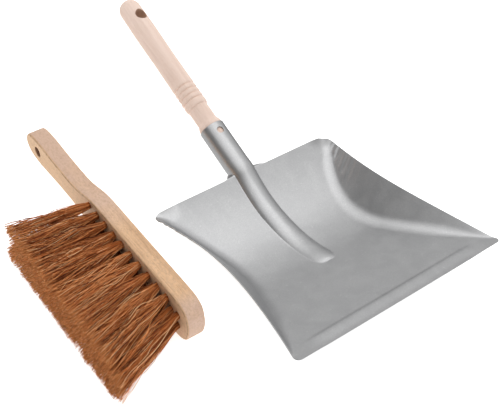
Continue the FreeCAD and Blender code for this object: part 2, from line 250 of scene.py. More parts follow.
def thicken(mesh, thickness):
    """Gives a welded single skin its thickness behind its faces, with softly rounded rims."""
    count = len(mesh.vertices)
    points, normals = vertex_values(mesh), vertex_values(mesh, "normal")
    faces = [list(p.vertices) for p in mesh.polygons]
    seen = {}
    for face in faces:
        for a, b in zip(face, face[1:] + face[:1]):
            seen[(a, b)] = seen.get((a, b), 0) + 1
    rim = [(a, b) for a, b in seen if (b, a) not in seen]
    under = points - normals * thickness
    out = np.zeros_like(points)
    for a, b in rim:
        direction = points[b] - points[a]
        direction /= max(np.linalg.norm(direction), 1e-9)
        side = np.cross(direction, normals[a])
        out[a] += side
        out[b] += side
    length = np.linalg.norm(out, axis=1, keepdims=True)
    out = out / np.maximum(length, 1e-9)
    rings, extra = {}, []
    for v in sorted({v for edge in rim for v in edge}):
        first = 2 * count + len(extra)
        for down, bulge in RIM_ROUNDING:
            extra.append(points[v] - normals[v] * thickness * down + out[v] * bulge * thickness)
        rings[v] = [v, first, first + 1, first + 2, v + count]
    all_faces = faces + [[v + count for v in reversed(face)] for face in faces]
    for a, b in rim:
        for k in range(4):
            all_faces.append([rings[b][k], rings[a][k], rings[a][k + 1], rings[b][k + 1]])
    all_points = np.concatenate([points, under, np.array(extra)])
    return new_mesh(mesh.name, all_points.tolist(), all_faces)


def piece(name, mesh, matrix, body, nodes, material, sharp=35.0):
    """A finished visual piece: shaded smooth, in its place, and standing for its CAD nodes. Its
    mesh is in the set's frame, and keeps its own coordinates for the materials in "local"."""
    local = vertex_values(mesh, kind=np.float32)
    made = mesh.attributes.new("local", "FLOAT_VECTOR", "POINT")
    made.data.foreach_set("vector", local.ravel())
    mesh.transform(matrix)
    placed = vertex_values(mesh, kind=np.float32)
    placed[:, 2] = np.maximum(placed[:, 2], 0.0)    # no fibre goes through the floor
    mesh.vertices.foreach_set("co", placed.ravel())
    mesh.shade_smooth()
    if sharp:
        mesh.set_sharp_from_angle(angle=math.radians(sharp))
    obj = new_object(name, mesh)
    mesh.materials.append(material)
    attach(obj, body)
    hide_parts(*nodes)
    return obj


# --- materials ---
RANGE_SOCKETS = ("From Min", "From Max", "To Min", "To Max")


class Material:
    """A node material, with short calls for the nodes that the finishes here use."""

    def __init__(self, name):
        self.material = bpy.data.materials.new(name)
        self.material.use_nodes = True
        self.tree = self.material.node_tree
        self.shader = self.tree.nodes["Principled BSDF"]
        self.local = self.node("ShaderNodeAttribute", attribute_name="local").outputs["Vector"]

    def node(self, kind, **settings):
        made = self.tree.nodes.new(kind)
        for key, value in settings.items():
            setattr(made, key, value)
        return made

    def link(self, source, target):
        if isinstance(source, (int, float, tuple)):
            target.default_value = source
        else:
            self.tree.links.new(source, target)

    def scaled(self, scale, source=None):
        made = self.node("ShaderNodeMapping")
        self.link(source or self.local, made.inputs["Vector"])
        made.inputs["Scale"].default_value = scale
        return made.outputs["Vector"]

    def noise(self, vector, scale=1.0, detail=3.0, roughness=0.5, distortion=0.0):
        made = self.node("ShaderNodeTexNoise")
        self.link(vector, made.inputs["Vector"])
        for key, value in zip(("Scale", "Detail", "Roughness", "Distortion"),
                              (scale, detail, roughness, distortion)):
            made.inputs[key].default_value = value
        return made.outputs["Fac"]

    def range(self, value, low, high, to_low=0.0, to_high=1.0):
        made = self.node("ShaderNodeMapRange", interpolation_type="SMOOTHSTEP")
        self.link(value, made.inputs["Value"])
        for key, number in zip(RANGE_SOCKETS, (low, high, to_low, to_high)):
            made.inputs[key].default_value = number
        return made.outputs["Result"]

    def math(self, operation, a, b=0.0):
        made = self.node("ShaderNodeMath", operation=operation)
        self.link(a, made.inputs[0])
        self.link(b, made.inputs[1])
        return made.outputs[0]

    def times(self, a, b):
        return self.math("MULTIPLY", a, b)

    def mix(self, factor, a, b):
        made = self.node("ShaderNodeMix", data_type="RGBA")
        self.link(factor, made.inputs[0])
        for value, target in ((a, made.inputs[6]), (b, made.inputs[7])):
            if isinstance(value, tuple):
                target.default_value = (*value, 1.0)
            else:
                self.link(value, target)
        return made.outputs[2]

    def axis(self, vector, name):
        made = self.node("ShaderNodeSeparateXYZ")
        self.link(vector, made.inputs[0])
        return made.outputs[name]

    def attribute(self, name):
        return self.node("ShaderNodeAttribute", attribute_name=name).outputs["Fac"]

    def bump(self, height, distance, strength=1.0, normal=None):
        made = self.node("ShaderNodeBump")
        made.inputs["Strength"].default_value = strength
        made.inputs["Distance"].default_value = distance
        self.link(height, made.inputs["Height"])
        if normal is not None:
            self.link(normal, made.inputs["Normal"])
        return made.outputs["Normal"]

    def finish(self, color, roughness, normal=None, **values):
        for key, value in (("Base Color", color), ("Roughness", roughness), ("Normal", normal)):
            if isinstance(value, tuple):
                value = (*value, 1.0)
            if value is not None:
                self.link(value, self.shader.inputs[key])
        for key, value in values.items():
            self.shader.inputs[key.replace("_", " ")].default_value = value
        return self.material


def galvanised_steel():
    """Matt zinc: a fine speckle, faint larger patches, and a soft uneven gloss."""
    m = Material("galvanised_steel")
    fine = m.noise(m.local, scale=1.15, detail=3.0, roughness=0.62)
    grain = m.noise(m.local, scale=0.42, detail=2.0)
    patches = m.noise(m.local, scale=0.055, detail=4.0, roughness=0.6, distortion=0.6)
    base = m.mix(m.range(patches, 0.3, 0.72), (0.452, 0.453, 0.457), (0.50, 0.501, 0.503))
    base = m.mix(m.range(fine, 0.36, 0.64, 0.0, 0.5), base, (0.375, 0.378, 0.384))
    base = m.mix(m.range(grain, 0.62, 0.8, 0.0, 0.25), base, (0.78, 0.78, 0.77))
    rough = m.range(patches, 0.25, 0.75, 0.34, 0.40)
    rough = m.math("ADD", rough, m.range(fine, 0.3, 0.7, -0.03, 0.04))
    normal = m.bump(fine, 0.00003, 0.5)
    return m.finish(base, rough, normal, Metallic=1.0)


def plain_steel(name, color, roughness):
    m = Material(name)
    in_metres = m.node("ShaderNodeTexCoord").outputs["Object"]
    marks = m.noise(m.scaled((1800.0, 1800.0, 1800.0), in_metres), detail=3.0)
    base = m.mix(m.range(marks, 0.3, 0.7), color, tuple(c * 1.25 for c in color))
    return m.finish(base, m.range(marks, 0.3, 0.7, roughness - 0.06, roughness + 0.08),
                    m.bump(marks, 0.00005, 0.4), Metallic=1.0)


def wood(name, along, light, mid, dark, fleck, contrast=1.0):
    """Plain light wood: soft figure and fine streaks along one axis, short flecks, and pores."""
    m = Material(name)

    def stretched(lengthwise, across):
        return m.scaled(tuple(lengthwise if axis == along else across for axis in range(3)))

    warp = m.noise(stretched(0.012, 0.05), detail=2.0)
    figure = m.noise(stretched(0.010, 0.16), detail=3.0, roughness=0.55, distortion=0.4)
    streaks = m.noise(stretched(0.035, 0.9), detail=4.0, roughness=0.6)
    flecks = m.noise(stretched(0.30, 2.1), detail=2.0)
    pores = m.noise(stretched(1.1, 5.0), detail=2.0)
    stain = m.noise(stretched(0.02, 0.035), detail=2.0, distortion=0.5)
    base = m.mix(m.range(figure, 0.32, 0.68), light, mid)
    for marks, low, high, share, color in (
            (streaks, 0.46, 0.8, 0.5, dark), (stain, 0.52, 0.78, 0.35, mid),
            (flecks, 0.6, 0.72, 0.55, fleck), (pores, 0.62, 0.78, 0.3, dark)):
        base = m.mix(m.range(marks, low, high, 0.0, share * contrast), base, color)
    base = m.mix(m.range(warp, 0.35, 0.7, 0.0, 0.18), base, light)
    rough = m.range(streaks, 0.3, 0.7, 0.58, 0.72)
    normal = m.bump(streaks, 0.00008, 0.4)
    normal = m.bump(pores, 0.00005, 0.4, normal)
    return m, base, rough, normal


def beech():
    """The handle's wood, with the lathe's mark in its end and painted shade in the hanging hole's
    bore.
    """
    m, base, rough, normal = wood("beech", 2, (0.84, 0.67, 0.58), (0.775, 0.60, 0.51),
                                  (0.62, 0.45, 0.365), (0.66, 0.44, 0.32), 1.3)
    depth = m.axis(m.local, "Z")
    mark = m.range(depth, HANDLE_LENGTH - 4.0, HANDLE_LENGTH - 2.5)
    x, y = m.axis(m.local, "X"), m.math("SUBTRACT", m.axis(m.local, "Y"), LATHE_MARK_OFF)
    from_axis = m.math("SQRT", m.math("ADD", m.times(x, x), m.times(y, y)))
    centre = m.times(m.range(from_axis, 0.7, 1.4, 1.0, 0.0), mark)
    base = m.mix(centre, base, (0.10, 0.07, 0.05))
    # painted shade: the hanging hole's bore and the inner edge of its rounded rim are darkened
    base = m.mix(m.times(m.attribute("bore"), 0.75), base, (0.36, 0.19, 0.10))
    return m.finish(base, rough, normal, Specular_IOR_Level=0.35)


def brush_wood():
    """The block's wood: stained, pinker and darker at its ends as painted shade, lighter and warmer
    on its face as painted fill, and dark in its holes as painted shade.
    """
    m, base, rough, normal = wood("brush_wood", 0, (0.75, 0.485, 0.285), (0.60, 0.37, 0.21),
                                  (0.40, 0.235, 0.13), (0.38, 0.20, 0.10), 1.75)
    place = m.axis(m.local, "X")
    # painted shade: the sides get a pinker, darker tint at the nose and from the shoulder back
    # along the handle, where the surface turns
    end = m.math("MAXIMUM", m.range(place, 268.0, 288.0), m.range(place, 30.0, 4.0, 0.0, 0.5))
    waver = m.noise(m.scaled((0.05, 0.05, 0.05)), detail=3.0)
    shoulder = m.range(place, 190.0, 140.0)
    painted_turn_shade = m.times(m.math("MAXIMUM", end, m.times(shoulder, 0.8)),
                   m.times(m.attribute("side"), m.range(waver, 0.3, 0.6, 0.7, 1.0)))
    base = m.mix(m.times(painted_turn_shade, 0.8), base, (0.61, 0.44, 0.365))
    # painted fill light: the tuft face, which lies in shade, is painted lighter and warmer
    base = m.mix(m.times(m.attribute("face"), 0.6), base, (0.77, 0.53, 0.33))
    mottle = m.noise(m.scaled((0.30, 0.55, 0.55)), detail=4.0, roughness=0.65)
    base = m.mix(m.range(mottle, 0.42, 0.68, 0.0, 0.45), base, (0.46, 0.305, 0.205))
    scuff = m.noise(m.scaled((0.11, 0.16, 0.16)), detail=5.0, roughness=0.7)
    base = m.mix(m.range(scuff, 0.58, 0.74, 0.0, 0.45), base, (0.33, 0.19, 0.11))
    rim = m.times(m.attribute("rim"), m.range(scuff, 0.4, 0.6, 0.25, 0.75))
    base = m.mix(rim, base, (0.27, 0.155, 0.085))
    # painted shade: the tuft holes and the hanging hole are darkened inside
    base = m.mix(m.times(m.attribute("bore"), 0.85), base, (0.20, 0.10, 0.05))
    return m.finish(base, rough, normal, Specular_IOR_Level=0.35)


def coir():
    """Coconut fibre: each fibre has its own tone, from dark brown to straw, painted shade towards
    the roots, and dry dull sheen.
    """
    m = Material("coir")
    tone = m.attribute("tone")
    along = m.attribute("along")
    blotch = m.noise(m.scaled((0.25, 0.25, 0.25)), detail=2.0)
    base = m.mix(m.range(tone, 0.0, 0.5), (0.10, 0.022, 0.006), (0.54, 0.160, 0.042))
    for source, low, high, at_low, at_high, color in (
            (tone, 0.5, 0.9, 0.0, 1.0, (0.86, 0.355, 0.13)),
            (tone, 0.93, 1.0, 0.0, 0.9, (0.94, 0.57, 0.30)),
            # painted shade: the fibres darken towards their roots, where the tuft is packed and
            # shaded
            (along, 0.0, 0.3, 0.4, 0.0, (0.42, 0.12, 0.022)),
            (along, 0.86, 1.0, 0.0, 0.5, (0.80, 0.36, 0.13)),
            (blotch, 0.35, 0.7, 0.0, 0.25, (0.24, 0.075, 0.02))):
        base = m.mix(m.range(source, low, high, at_low, at_high), base, color)
    return m.finish(base, 0.6, None, Specular_IOR_Level=0.15)


# --- pan sheet ---
HAT_HALF = 25.0             # half width of the floor's middle strip, which carries the rib
HAT_COLUMNS = 36
SIDE_COLUMNS = 60
RIM_COLUMNS = 12
RIM_WIDTH = 13.0
FLOOR_ROWS = 188
RIB_FOOT = 0.7              # how softly the rib meets the floor
WRINKLE_DEPTH = 0.36
WRINKLE_FROM = 4.0          # past the back edge, and over what length they come in
WRINKLE_RAMP = 14.0
WRINKLE_END = -38.0         # where they are gone, and over what length they go
WRINKLE_FADE = 44.0


def spread(at, waist, waist_at, slope, roundness):
    return waist + math.hypot(slope * (at - waist_at), roundness) - roundness


def rib_height(s, y):
    """Height of the rib above the floor: an arc across, fading to a rounded tip."""
    along = (s - FLOOR_BACK) / (RIB_TIP - FLOOR_BACK)
    if along >= 1.0:
        return np.zeros_like(y)
    end = min((RIB_TIP - s) / RIB_TIP_LENGTH, 1.0)
    end = math.sqrt(1.0 - (1.0 - end) ** 2)
    height = mix(*RIB_HEIGHT, along) * end
    half = RIB_HALF_WIDTH * mix(0.55, 1.0, end)
    radius = (half * half + height * height) / (2.0 * height + 0.001)
    arc = np.sqrt(np.maximum(radius ** 2 - y ** 2, 0.0)) - (radius - height)
    arc = np.where(np.abs(y) < radius, arc, -height)
    foot = RIB_FOOT * end
    softened = 0.5 * (arc + np.sqrt(arc * arc + foot * foot))
    return softened - 0.25 * foot * foot / (np.abs(arc) + foot + 1e-9)


def spaced(path, distances):
    """Points of a dense path at given distances from its start, and its length."""
    lengths = arc_lengths(path)
    return np.stack([np.interp(distances, lengths, path[:, k]) for k in range(3)], -1), lengths[-1]


def section(s):
    """One half of the sheet's skin at station s, from the middle out, and how far up the side
    wall each point is."""
    angle = max(-s / FLOOR_RADIUS, 0.0)
    x = -FLOOR_RADIUS * math.sin(angle) + max(s, 0.0)
    z = FLOOR_RADIUS * (1.0 - math.cos(angle))
    normal = np.array([math.sin(angle), 0.0, math.cos(angle)])
    crease_y = min(spread(s, *CREASE), LIP_HALF_WIDTH - 1.5)
    edge_y = max(spread(x, *EDGE), crease_y + 1.0)
    edge_z = max(EDGE_HEIGHT[0] + EDGE_HEIGHT[1] * x + EDGE_HEIGHT[2] * x * x, 0.0)
    flare = -np.array([BACK_FLARE[0], 0.0, BACK_FLARE[1]])
    flare *= smooth((FLOOR_BACK + BACK_FLARE_LENGTH - s) / BACK_FLARE_LENGTH)
    crease = np.array([x, crease_y, z])
    edge = np.array([x, edge_y, edge_z - flare[2]])
    wall = edge - crease
    fold = min(FOLD_LENGTH, 0.5 * np.linalg.norm(wall))
    before = crease - [0.0, fold, 0.0]
    after = crease + wall * (fold / np.linalg.norm(wall))

    def lowered(points):
        fade = smooth((LIP_STEP_HALF_WIDTH - np.abs(points[:, 1])) / LIP_STEP_FADE)
        drop = fade * (LIP_STEP * float(smooth((s - LIP_STEP_AT - LIP_STEP_LENGTH) / LIP_SLOPE))
                       - LIP_BEAD * float(smooth((s - LIP_STEP_AT) / LIP_STEP_LENGTH)))
        bend = smooth((points[:, 1] - BACK_FLARE_FROM) / (edge_y - BACK_FLARE_FROM))
        return points - normal * drop[:, None] + flare * bend[:, None]

    y = np.linspace(0.0, HAT_HALF, 160)
    hat = np.stack([np.full_like(y, x), y, np.full_like(y, z)], -1)
    hat = lowered(hat + normal * rib_height(s, y)[:, None])
    t = np.linspace(0.0, 1.0, 60)[:, None]
    start = np.array([x, HAT_HALF, z])
    bend = before * (1 - t) ** 2 + crease * (2 * t * (1 - t)) + after * t * t
    rest = lowered(np.concatenate([start + (before - start) * t, bend[1:],
                                   (after + (edge - after) * t)[1:]]))
    hat, _ = spaced(hat, np.linspace(0.0, 1.0, HAT_COLUMNS + 1) * spaced(hat, [0.0])[1])
    length = spaced(rest, [0.0])[1]
    even = np.linspace(0.0, length - RIM_WIDTH, SIDE_COLUMNS + 1)[1:]
    rim = length - RIM_WIDTH * (1.0 - np.arange(1, RIM_COLUMNS + 1) / RIM_COLUMNS) ** 2
    distances = np.concatenate([even, rim])
    rest, _ = spaced(rest, distances)
    straight = np.linalg.norm(edge - after)
    wall_share = np.clip((distances - (length - straight)) / straight, 0.0, 1.0)
    return np.concatenate([hat, rest]), np.concatenate([np.zeros(len(hat)), wall_share])


def waviness(points, wall_share, stations):
    """How far the pressed sheet stands off its true shape: faint waves, and drawn wrinkles on
    the side walls near the back corners."""
    x, y = points[..., 0], points[..., 1]
    wave = 0.04 * np.sin(x / 25.0 + 0.7) * np.sin(y / 31.0 + 1.1)
    wave += 0.015 * np.sin(x / 14.0 + y / 17.0)
    side = np.where(y > 0, 0.0, 1.7)
    wrinkle = np.sin(stations * 0.62 + 0.22 * np.sin(stations * 0.21 + side) + side)
    wrinkle += 0.6 * np.sin(stations * 0.37 + 1.3 + 2.0 * side)
    fade = smooth((stations - FLOOR_BACK - WRINKLE_FROM) / WRINKLE_RAMP)
    fade = fade * smooth((WRINKLE_END - stations) / WRINKLE_FADE)
    return wave + WRINKLE_DEPTH * wrinkle * fade * smooth(wall_share / 0.4)


def floor_grid():
    """The whole floor and both walls as rows of points, with the four corners rounded off."""
    stations = np.linspace(FLOOR_BACK, FLOOR_FLAT, 420)
    table, shares = zip(*(section(s) for s in stations))
    table, shares = np.array(table), np.array(shares)
    lengths = np.linalg.norm(np.diff(table[200:220], axis=1), axis=-1).mean(0)
    from_edge = np.concatenate([np.cumsum(lengths[::-1])[::-1], [0.0]])

    def cut(radius):
        """How far a rounded corner draws each column in."""
        inside = np.clip(radius - from_edge, 0.0, radius)
        return radius - np.sqrt(radius ** 2 - inside ** 2)

    low = FLOOR_BACK + cut(BACK_CORNER_RADIUS)
    high = FLOOR_FLAT - cut(FRONT_CORNER_RADIUS)
    share = np.linspace(0.0, 1.0, FLOOR_ROWS)
    half = np.empty((FLOOR_ROWS, table.shape[1], 3))
    walls = np.empty(half.shape[:2])
    wanted = np.empty(half.shape[:2])
    for j in range(table.shape[1]):
        s = mix(low[j], high[j], share)
        wanted[:, j] = s
        walls[:, j] = np.interp(s, stations, shares[:, j])
        for k in range(3):
            half[:, j, k] = np.interp(s, stations, table[:, j, k])
    mirrored = half[:, :0:-1] * [1.0, -1.0, 1.0]
    points = np.concatenate([mirrored, half], axis=1)
    walls = np.concatenate([walls[:, :0:-1], walls], axis=1)
    wanted = np.concatenate([wanted[:, :0:-1], wanted], axis=1)
    normals = unit(np.cross(np.gradient(points, axis=0), np.gradient(points, axis=1)))
    away = waviness(points, walls, wanted) * smooth((wanted - FLOOR_BACK) / 6.0)
    return points + normals * away[..., None]


def socket_axes():
    """The socket's start on its axis, its way out, and the way to its top."""
    rise = math.radians(SOCKET_RISE)
    out = np.array([-math.cos(rise), 0.0, math.sin(rise)])
    top = np.array([math.sin(rise), 0.0, math.cos(rise)])
    curl = math.radians(FLOOR_CURL)
    back = np.array([-FLOOR_RADIUS * math.sin(curl), 0.0, FLOOR_RADIUS * (1.0 - math.cos(curl))])
    return back - top * SOCKET_SINK, out, top


WRAP_LENGTH = 18.0          # over this length the sheet's tongue wraps round to a closed socket
FILLET_LENGTH = 18.0        # of the fillet between the back edge and the tongue
FILLET_SOFTNESS = 2.0       # width of the soft change from the tongue to its fillet
TONGUE_BLEND = 15.0         # over this length it leaves the floor's direction
TONGUE_JOIN = 5.0           # and over this one the shape of the back row
TONGUE_FINE = 16.0          # length with closer rows
TONGUE_FINE_ROWS = 19
TONGUE_ROWS = 34
NAIL_WINDOW = 6.0           # half length and half columns left out round the nail hole
NAIL_COLUMNS = 5
NAIL_DIMPLE = 0.18


def tongue_section(t, share):
    """The tongue's section at t along the socket: the rib's arc, which wraps further round until
    it closes, and past it a wing in the floor that dies out. Gives (y, height) at shares of its
    length from the top."""
    first = math.acos(SOCKET_SINK / SOCKET_RADIUS)
    last = math.pi - SOCKET_SEAM / 2 / SOCKET_RADIUS
    wrap = mix(first, last, float(smooth(t / WRAP_LENGTH)))
    left = max(1.0 - t / FILLET_LENGTH, 0.0)
    wing = (HAT_HALF - SOCKET_RADIUS * math.sin(first)) * (1.0 - math.sqrt(1.0 - left * left))
    sigma = np.linspace(0.0, SOCKET_RADIUS * wrap + wing, 500)
    beyond = smooth((sigma - SOCKET_RADIUS * wrap) / FILLET_SOFTNESS + 0.5)
    flat = 1.0 - float(smooth(2.0 * t / FILLET_LENGTH))
    slope = np.minimum(sigma / SOCKET_RADIUS, wrap) * (1.0 - flat * beyond)
    step = sigma[1] - sigma[0]
    middle = 0.5 * (slope[1:] + slope[:-1])
    y = np.concatenate([[0.0], np.cumsum(np.cos(middle) * step)])
    h = SOCKET_RADIUS - np.concatenate([[0.0], np.cumsum(np.sin(middle) * step)])
    want = share * sigma[-1]
    return np.interp(want, sigma, y), np.interp(want, sigma, h)


def tongue_grid(back_row, along_back):
    """The tongue from the floor's back row, leaving it smoothly, to the socket's mouth."""
    base, out, top = socket_axes()
    share = np.linspace(-1.0, 1.0, 2 * HAT_COLUMNS + 1)
    fine = TONGUE_FINE * (np.arange(TONGUE_FINE_ROWS) / (TONGUE_FINE_ROWS - 1)) ** 1.7
    coarse = np.linspace(TONGUE_FINE, SOCKET_LENGTH, TONGUE_ROWS)[1:]
    stations = np.concatenate([fine, coarse])
    rows = []
    for t in stations:
        y, h = tongue_section(t, np.abs(share))
        rows.append(base + out * t + np.outer(y * np.sign(share), [0, 1, 0]) + np.outer(h, top))
    rows = np.array(rows)
    missing = back_row - rows[0]
    bend = along_back - out
    for row, t in zip(rows, stations):
        leaving = max(1.0 - t / TONGUE_BLEND, 0.0) ** 2
        row += missing * (1.0 - smooth(t / TONGUE_JOIN)) + bend * t * leaving
    return rows, stations


def make_pan_sheet():
    """Floor, walls, rib and socket as one skin, with the nail hole. Its faces look down, so its
    thickness goes on top, where the CAD sheet's is below."""
    floor = floor_grid()
    middle = floor.shape[1] // 2
    hat = slice(middle - HAT_COLUMNS, middle + HAT_COLUMNS + 1)
    tongue, stations = tongue_grid(floor[0, hat], unit(floor[0, hat] - floor[1, hat]))
    build = Builder()
    build.grid(floor)
    centre = SOCKET_LENGTH - NAIL_HOLE_FROM_MOUTH
    rows = np.where(np.abs(stations - centre) < NAIL_WINDOW)[0]
    r0, r1 = rows[0], rows[-1]
    c0, c1 = HAT_COLUMNS - NAIL_COLUMNS, HAT_COLUMNS + NAIL_COLUMNS
    faces = grid_faces(*tongue.shape[:2])[:, ::-1]
    faces = faces.reshape(tongue.shape[0] - 1, tongue.shape[1] - 1, 4)
    keep = np.ones(faces.shape[:2], bool)
    keep[r0:r1, c0:c1] = False
    build.patch(tongue, faces[keep])

    base, out, top = socket_axes()
    edge = np.array([tongue[r, c] - base for r, c in window_border(r0, r1, c0, c1)])
    along, across = edge @ out, np.arctan2(edge[:, 1], edge @ top) * SOCKET_RADIUS
    away = np.stack([along - centre, across], -1)
    ring = unit(away) * NAIL_HOLE_RADIUS
    rings = []
    for t in (np.arange(7) / 6.0) ** 0.8:
        a, b = mix(away, ring, t).T
        angle = b / SOCKET_RADIUS
        radius = SOCKET_RADIUS - NAIL_DIMPLE * smooth((t - 0.6) / 0.4)
        rings.append(base + np.outer(a + centre, out) + np.outer(radius * np.cos(angle), top)
                     + np.outer(radius * np.sin(angle), [0, 1, 0]))
    build.grid(np.array(rings), wrap=True, flip=True)
    return thicken(build.mesh("pan_sheet_skin"), SHEET)


# --- pan handle ---
RING_FROM = 25.8            # the raised ring between neck and grooves
RING_TO = 30.2
RING_RADIUS = GROOVED_RADIUS + 0.15
COLLAR_RADIUS = SOCKET_RADIUS + 0.1
HANDLE_SIDES = 96
HOLE_WINDOW = 9.5           # half length and half columns left out round the hanging hole
HOLE_COLUMNS = 14
HOLE_FILLET = 0.9


def turned(radii, z, circle):
    """Rows of points round the z axis."""
    return np.stack([np.outer(radii, circle[:, 0]), np.outer(radii, circle[:, 1]),
                     np.repeat(z[:, None], len(circle), 1)], -1)


def handle_radius(z):
    """The turned profile, from the collar at the socket's mouth to the dome."""
    z = np.asarray(z, float)
    radius = mix(COLLAR_RADIUS, NECK_RADIUS, smooth((z - 2.6) / 6.0))
    radius = np.where(z < 0.9, COLLAR_RADIUS - 0.35 * (1.0 - z / 0.9) ** 2, radius)
    shoulder = np.sqrt(np.clip(1.0 - ((z - RING_TO) / (RING_TO - RING_FROM)) ** 2, 0.0, 1.0))
    ring = NECK_RADIUS + (RING_RADIUS - NECK_RADIUS) * shoulder ** 0.85
    radius = np.where((z > RING_FROM) & (z < RING_TO), np.maximum(radius, ring), radius)
    places, sizes = zip(
        (RING_TO, RING_RADIUS), (54.6, GROOVED_RADIUS + 0.05), (58.5, GRIP[0][1] + 0.05), *GRIP[1:],
        (HANDLE_LENGTH - DOME_LENGTH, END_RADIUS), (HANDLE_LENGTH, END_RADIUS))
    soft = sum(np.interp(z + shift, places, sizes) for shift in (-2.0, -1.0, 0.0, 1.0, 2.0)) / 5.0
    radius = np.where(z >= RING_TO, soft, radius)
    for groove in GROOVES:
        off = np.abs(z - groove)
        radius = radius - 0.95 * np.exp(-(off / 0.72) ** 1.6) - 0.3 * np.exp(-(off / 1.7) ** 2)
    end = HANDLE_LENGTH - DOME_LENGTH
    dome = np.sqrt(np.clip(1.0 - (np.maximum(z - end, 0.0) / DOME_LENGTH) ** 2, 0.0, 1.0))
    return radius * dome ** 0.92


def make_pan_handle():
    """The turned handle with its tenon, and a rounded hole let into both its sides."""
    build = Builder()
    count, half = HANDLE_SIDES, HOLE_COLUMNS
    angle = np.arange(count) * 2 * math.pi / count
    circle = np.stack([np.cos(angle), np.sin(angle)], -1)
    centre = HANDLE_LENGTH - HANG_HOLE_FROM_END
    hole_rows = np.linspace(centre - HOLE_WINDOW, centre + HOLE_WINDOW, 25)
    to_end = (HANDLE_LENGTH - centre - HOLE_WINDOW) * (1 - np.linspace(0.05, 0.996, 24)) ** 1.6
    z = np.concatenate([
        np.linspace(0.0, 1.0, 6), np.linspace(1.4, 12.0, 24), np.linspace(13.0, 25.0, 10),
        np.linspace(RING_FROM, 60.0, 150), np.linspace(61.5, centre - (HOLE_WINDOW + 1.0), 48),
        hole_rows, HANDLE_LENGTH - to_end])
    rows = turned(handle_radius(z), z, circle)
    first = int(np.where(np.isclose(z, hole_rows[0]))[0][0])
    last = first + len(hole_rows) - 1
    faces = grid_faces(len(z), count, wrap=True).reshape(len(z) - 1, count, 4)
    keep = np.ones(faces.shape[:2], bool)
    window = [(-half + k) % count for k in range(2 * half)]
    for side in (0, count // 2):
        keep[first:last, [(c + side) % count for c in window]] = False
    build.patch(rows, faces[keep])
    build.patch(np.concatenate([rows[-1], [[0, 0, HANDLE_LENGTH]]]),
                [[k, (k + 1) % count, count, count] for k in range(count)])

    fillet, hole = HOLE_FILLET, HANG_HOLE_RADIUS
    border = window_border(first, last, -half, half)
    edge = np.array([rows[r, c % count] for r, c in border])
    away = np.stack([edge[:, 2] - centre, edge[:, 1]], -1)
    outward = unit(away)

    def surface(a, b):
        return np.sqrt(np.maximum(handle_radius(a + centre) ** 2 - b ** 2, 0.01))

    rings = []
    for t in np.linspace(0.0, 1.0, 9):
        a, b = mix(away, outward * (hole + fillet), t).T
        rings.append(np.stack([surface(a, b), b, a + centre], -1))
    for t in np.linspace(0.0, math.pi / 2, 6)[1:]:
        a, b = (outward * (hole + fillet * (1 - math.sin(t)))).T
        rings.append(np.stack([surface(a, b) - fillet * (1 - math.cos(t)), b, a + centre], -1))
    rings = np.array(rings)
    other = rings * [-1.0, 1.0, 1.0]
    bore = np.array([mix(rings[-1], other[-1], t) for t in np.linspace(0.0, 1.0, 8)])
    build.grid(rings, wrap=True)
    build.grid(other, wrap=True, flip=True)
    build.grid(bore, wrap=True)

    tenon_z = np.array([0.0, 0.0, -1.0, -TENON_LENGTH + 1.5, -TENON_LENGTH, -TENON_LENGTH])
    tenon_r = np.array([SOCKET_RADIUS - 0.1, TENON_RADIUS, TENON_RADIUS, TENON_RADIUS,
                        TENON_RADIUS - 1.0, 0.02])
    build.grid(turned(tenon_r, tenon_z, circle), wrap=True, flip=True)
    mesh = build.mesh("pan_handle_mesh", weld=0.006)
    _, y, z = vertex_values(mesh).T
    # the hanging hole's bore and rim, where the wood gets its painted shade
    set_values(mesh, "bore", smooth((hole + 0.5 - np.hypot(z - centre, y)) / 0.5))
    mesh.transform(turn("Z", HANG_HOLE_TURN))
    return mesh


# --- brush block ---
BLOCK_ROUNDING = 2.1
HOLE_ROUNDING = 1.0
TUFT_HOLE_FLARE = 0.35


def closed_curve(points, count):
    """A smooth closed cubic curve through points, sampled evenly."""
    points = np.asarray(points, float)
    n = len(points)
    h = np.linalg.norm(np.roll(points, -1, 0) - points, axis=1)
    system, right = np.zeros((n, n)), np.zeros((n, 2))
    for i in range(n):
        before, after = h[i - 1], h[i]
        system[i, i - 1] += after
        system[i, i] += 2 * (before + after)
        system[i, (i + 1) % n] += before
        right[i] = 3 * (after * (points[i] - points[i - 1]) / before
                        + before * (points[(i + 1) % n] - points[i]) / after)
    slopes = np.linalg.solve(system, right)
    dense = []
    for i in range(n):
        t = np.linspace(0.0, 1.0, 60, endpoint=False)[:, None]
        a, b = points[i], points[(i + 1) % n]
        m, k = slopes[i] * h[i], slopes[(i + 1) % n] * h[i]
        dense.append((2 * t ** 3 - 3 * t ** 2 + 1) * a + (t ** 3 - 2 * t ** 2 + t) * m
                     + (3 * t ** 2 - 2 * t ** 3) * b + (t ** 3 - t ** 2) * k)
    dense = np.concatenate(dense + [points[:1]])
    lengths = arc_lengths(dense)
    want = np.linspace(0.0, lengths[-1], count, endpoint=False)
    return np.stack([np.interp(want, lengths, dense[:, k]) for k in range(2)], -1)


def tuft_places():
    """The name and the hole's x and y of every tuft."""
    places = []
    for row, (across, first) in enumerate(zip(TUFT_ROWS, TUFT_FIRST), start=1):
        for k in range(TUFTS_PER_ROW):
            places.append(("tuft_row%d_%02d" % (row, k + 1), first + k * TUFT_PITCH, across))
    for k, (x, y) in enumerate(NOSE_TUFTS, start=1):
        places.append(("tuft_nose_%d" % k, x, y))
    return places


def lathe(profile, x, y, sides):
    """A closed turned cutter about a vertical axis, from (radius, z) points."""
    angle = np.arange(sides) * 2 * math.pi / sides
    grid = np.array([[(x + r * math.cos(a), y + r * math.sin(a), z) for a in angle]
                     for r, z in profile])
    faces = grid_faces(len(profile), sides, wrap=True).tolist()
    faces.append(list(range(sides))[::-1])
    faces.append([(len(profile) - 1) * sides + k for k in range(sides)])
    return grid.reshape(-1, 3), faces


